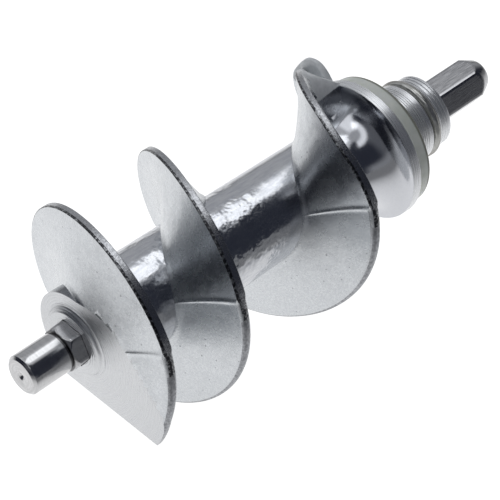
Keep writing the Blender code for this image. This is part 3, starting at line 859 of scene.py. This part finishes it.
def mat_tongue():
    """Tongue and the pocket in front of it: matt as cast, with a light, near-white colour as painted light that keeps
    the narrow pocket bright.
    """
    mat, t = new_material("tongue_painted_light", (0.72, 0.74, 0.76), 0.5, 0.1)
    fine = t.noise(t.p, 2.0, 4.0, 0.65)
    mott = t.noise(t.p, 0.6, 3.0)
    t.set(t.bsdf, "Base Color", t.mix(t.ramp(mott, 0.3, 0.75), (0.70, 0.72, 0.73), (0.86, 0.88, 0.89)))
    t.set(t.bsdf, "Normal", t.bump(fine, 0.3, 0.1))
    return mat


def mat_steel():
    """Bright drawn bar with a ground journal: fine scratches, and painted shade darkening the relief groove."""
    mat, t = new_material("bright_bar", (0.46, 0.46, 0.465), 0.2, 1.0)
    on_journal = t.ramp(t.x, X_TIP + 8.9, X_TIP + 8.6)
    along = t.noise(t.vector(t.math("MULTIPLY", t.x, 0.35), t.math("MULTIPLY", t.y, 5.0), t.math("MULTIPLY", t.z, 5.0)), 1.0, 4.0, 0.6)
    around = t.noise(t.vector(t.math("MULTIPLY", t.x, 9.0), t.math("MULTIPLY", t.ang, 1.0), t.math("MULTIPLY", t.r, 3.0)), 1.0, 4.0, 0.6)
    mixer = t.nt.nodes.new("ShaderNodeMix")
    t.nt.links.new(on_journal, mixer.inputs[0])
    t.nt.links.new(along, mixer.inputs[2])
    t.nt.links.new(around, mixer.inputs[3])
    scratch = mixer.outputs[0]
    spots = t.ramp(t.noise(t.p, 1.1, 4.0, 0.7), 0.60, 0.72)
    tone = t.mix(t.ramp(scratch, 0.3, 0.7), (0.36, 0.36, 0.37), (0.50, 0.50, 0.51))
    tone = t.mix(on_journal, tone, t.mix(t.ramp(scratch, 0.3, 0.7), (0.50, 0.50, 0.505), (0.64, 0.64, 0.645)))
    tone = t.mix(t.math("MULTIPLY", spots, 0.25), tone, (0.2, 0.195, 0.19))
    # painted shade: the turned relief groove is coloured near black
    relief = t.math("MULTIPLY", t.ramp(t.math("ABSOLUTE", t.math("SUBTRACT", t.x, X_TIP + 8.75)), 0.45, 0.2), 1.0)
    tone = t.mix(t.math("MULTIPLY", relief, 0.8), tone, (0.05, 0.05, 0.052))
    t.set(t.bsdf, "Base Color", tone)
    t.set(t.bsdf, "Roughness", t.ramp(scratch, 0.25, 0.75, 0.10, 0.20))
    b = t.bump(scratch, 0.16, 0.02)
    t.set(t.bsdf, "Normal", b)
    return mat


def mat_ring():
    """Pale plastic with a faint cloudiness and painted shade on its rounded rear edge."""
    mat, t = new_material("pale_plastic", (0.72, 0.75, 0.66), 0.38, 0.0)
    cloud = t.noise(t.p, 0.4, 3.0)
    fine = t.noise(t.p, 3.0, 3.0)
    tone = t.mix(t.ramp(cloud, 0.3, 0.7), (0.70, 0.73, 0.67), (0.80, 0.82, 0.77))
    # painted shade: the rounded rear edge is darkened to a dark olive
    edge = t.ramp(t.math("ADD", t.x, t.math("MULTIPLY", cloud, 0.2)), X_RING_BACK - 0.95, X_RING_BACK - 0.55)
    tone = t.mix(t.math("MULTIPLY", edge, 0.8), tone, (0.13, 0.13, 0.09))
    t.set(t.bsdf, "Base Color", tone)
    t.bsdf.inputs["Subsurface Weight"].default_value = 0.25
    t.bsdf.inputs["Subsurface Radius"].default_value = (0.0012, 0.0012, 0.0009)
    t.set(t.bsdf, "Normal", t.bump(fine, 0.15, 0.03))
    return mat


def mat_band():
    """Clear, faintly amber ring over bright metal: light face-on, brown where it turns away."""
    mat, t = new_material("amber_gloss", (0.42, 0.41, 0.38), 0.16, 0.0)
    cloud = t.noise(t.p, 0.9, 3.0)
    lw = t.nt.nodes.new("ShaderNodeLayerWeight")
    lw.inputs["Blend"].default_value = 0.45
    edge = t.ramp(t.math("ADD", lw.outputs["Facing"], t.math("MULTIPLY", cloud, 0.25)), 0.45, 0.95)
    tone = t.mix(t.ramp(cloud, 0.3, 0.7), (0.40, 0.40, 0.38), (0.55, 0.55, 0.53))
    t.set(t.bsdf, "Base Color", t.mix(edge, tone, (0.12, 0.09, 0.055)))
    t.set(t.bsdf, "Roughness", t.ramp(cloud, 0.3, 0.7, 0.12, 0.24))
    t.set(t.bsdf, "Metallic", t.math("MULTIPLY", t.math("SUBTRACT", 1.0, edge), 0.7))
    t.bsdf.inputs["Coat Weight"].default_value = 0.5
    t.set(t.bsdf, "Normal", t.bump(t.noise(t.p, 1.6, 3.0), 0.3, 0.12))
    return mat


for m in (mat_cast(), mat_core(), mat_rim(), mat_faced(), mat_hub(), mat_dish(), mat_boss(), mat_tongue(), mat_rim_low(), mat_rim_edge()):
    casting.data.materials.append(m)
bar.data.materials.append(mat_steel())
ring.data.materials.append(mat_ring())
band.data.materials.append(mat_band())

for obj, body_name, node, slot in (
        (casting, "worm", "screw_casting", "cast_aluminium"),
        (bar, "worm", "drive_shaft", "bright_steel"),
        (band, "worm", "hub_o_ring", "amber_rubber"),
        (ring, "seal", "sealing_ring", "pale_plastic")):
    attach(obj, body_name)
    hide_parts(node)


# ------------------------------------------------------------------ floor, light, camera
floor_z = cad_bounds[0][2] - 0.0005
me = bpy.data.meshes.new("floor")
s = 3.0
me.from_pydata([(-s, -s, floor_z), (s, -s, floor_z), (s, s, floor_z), (-s, s, floor_z)], [], [(0, 1, 2, 3)])
floor = bpy.data.objects.new("floor", me)
bpy.context.scene.collection.objects.link(floor)
fmat, ft = new_material("floor_white", (0.9, 0.9, 0.9), 0.9, 0.0)
tone = ft.mix(ft.noise(ft.p, 0.02, 2.0), (0.28, 0.28, 0.285), (0.32, 0.32, 0.32))
ft.set(ft.bsdf, "Base Color", tone)
ft.bsdf.inputs["Emission Color"].default_value = (1.0, 1.0, 1.0, 1.0)
lp = ft.nt.nodes.new("ShaderNodeLightPath")
mid = ft.nt.nodes.new("ShaderNodeVectorMath")
mid.operation = "DISTANCE"
ft.nt.links.new(ft.vector(ft.math("MAXIMUM", 0.0, ft.math("MULTIPLY", ft.math("SUBTRACT", ft.math("ABSOLUTE", ft.math("ADD", ft.x, 55.0)), 45.0), 0.45)),
                          ft.math("MULTIPLY", ft.y, ft.ramp(ft.y, -10.0, 10.0, 1.2, 0.3)), 0.0), mid.inputs[0])
mid.inputs[1].default_value = (0.0, 0.0, 0.0)
glow = ft.ramp(mid.outputs["Value"], 5.0, 115.0, 0.90, 0.10)
glow_mix = ft.nt.nodes.new("ShaderNodeMix")
ft.nt.links.new(lp.outputs["Is Camera Ray"], glow_mix.inputs[0])
ft.nt.links.new(glow, glow_mix.inputs[2])
glow_mix.inputs[3].default_value = 1.0
ft.nt.links.new(glow_mix.outputs[0], ft.bsdf.inputs["Emission Strength"])
me.materials.append(fmat)

world = bpy.data.worlds.new("studio")
bpy.context.scene.world = world
world.use_nodes = True
wt = world.node_tree


def wmath(op, a, b=0.0):
    nd = wt.nodes.new("ShaderNodeMath")
    nd.operation = op
    for i, v in enumerate((a, b)):
        if isinstance(v, bpy.types.NodeSocket):
            wt.links.new(v, nd.inputs[i])
        else:
            nd.inputs[i].default_value = v
    return nd.outputs[0]


def wramp(v, lo, hi, a=0.0, b=1.0):
    nd = wt.nodes.new("ShaderNodeMapRange")
    nd.interpolation_type = "SMOOTHSTEP"
    wt.links.new(v, nd.inputs[0])
    for i, q in enumerate((lo, hi, a, b)):
        nd.inputs[i + 1].default_value = q
    return nd.outputs[0]


tc = wt.nodes.new("ShaderNodeTexCoord")
sep = wt.nodes.new("ShaderNodeSeparateXYZ")
wt.links.new(tc.outputs["Generated"], sep.inputs[0])
dx, dy, dz = sep.outputs
azimuth = wmath("MULTIPLY", wmath("ARCTAN2", dy, dx), 180.0 / math.pi)
elevation = wmath("MULTIPLY", wmath("ARCSINE", dz), 180.0 / math.pi)


def panel(az, half_az, soft_az, el0, el1, soft_el, level):
    """Soft-edged light or wall: centred at azimuth az, between two heights, in degrees."""
    nd = wt.nodes.new("ShaderNodeMath")
    nd.operation = "WRAP"
    wt.links.new(wmath("SUBTRACT", azimuth, az), nd.inputs[0])
    nd.inputs[1].default_value = 180.0
    nd.inputs[2].default_value = -180.0
    away = wmath("ABSOLUTE", nd.outputs[0])
    m = wramp(away, half_az - soft_az, half_az + soft_az, 1.0, 0.0)
    m = wmath("MULTIPLY", m, wramp(elevation, el0 - soft_el, el0 + soft_el))
    m = wmath("MULTIPLY", m, wramp(elevation, el1 - soft_el, el1 + soft_el, 1.0, 0.0))
    return wmath("MULTIPLY", m, level)


total = wmath("ADD", panel(20.0, 27.0, 6.0, 47.5, 77.0, 4.0, 1.6), 0.028)      # main soft box
for args in ((-20.0, 16.0, 8.0, 60.0, 77.0, 4.0, 0.65),      # its soft end
             (48.0, 36.0, 10.0, -6.0, 46.0, 5.0, 0.42),      # wall behind
             (-112.0, 34.0, 12.0, -8.0, 12.0, 8.0, 0.24),    # low wall at the side
             (-160.0, 36.0, 14.0, 14.0, 62.0, 8.0, 0.09),    # dim wall in front
             (-160.0, 82.0, 10.0, 61.0, 75.0, 4.0, 1.0),     # overhead strip
             (62.0, 22.0, 8.0, 44.0, 78.0, 6.0, 0.5),        # second soft box, dim half
             (104.0, 24.0, 8.0, 40.0, 78.0, 6.0, 1.0),       # and bright half
             (98.0, 14.0, 6.0, -2.0, 38.0, 6.0, 0.5),
             (138.0, 14.0, 8.0, 60.0, 77.0, 5.0, 0.7),
             (0.0, 190.0, 2.0, 76.0, 100.0, 4.0, 0.38)):     # ceiling
    total = wmath("ADD", total, panel(*args))
comb = wt.nodes.new("ShaderNodeCombineColor")
for i, (gain, lift) in enumerate(((0.985, 0.0), (1.0, 0.003), (1.02, 0.015))):
    wt.links.new(wmath("ADD", wmath("MULTIPLY", total, gain), lift), comb.inputs[i])
bg = wt.nodes["Background"]
wt.links.new(comb.outputs[0], bg.inputs["Color"])
bg.inputs["Strength"].default_value = 1.0

cam_data = bpy.data.cameras.new("camera")
cam_data.lens = 188.1
cam_data.sensor_width = 36.0
cam_data.clip_start = 0.01
cam = bpy.data.objects.new("camera", cam_data)
bpy.context.scene.collection.objects.link(cam)
cam.matrix_world = Matrix((
    (0.71957, 0.48299, -0.49894, -0.31100),
    (-0.69442, 0.50048, -0.51701, -0.25661),
    (0.0, 0.71850, 0.69552, 0.33858),
    (0.0, 0.0, 0.0, 1.0)))
bpy.context.scene.camera = cam
bpy.context.scene.view_settings.view_transform = "Standard"
bpy.context.scene.view_settings.look = "None"
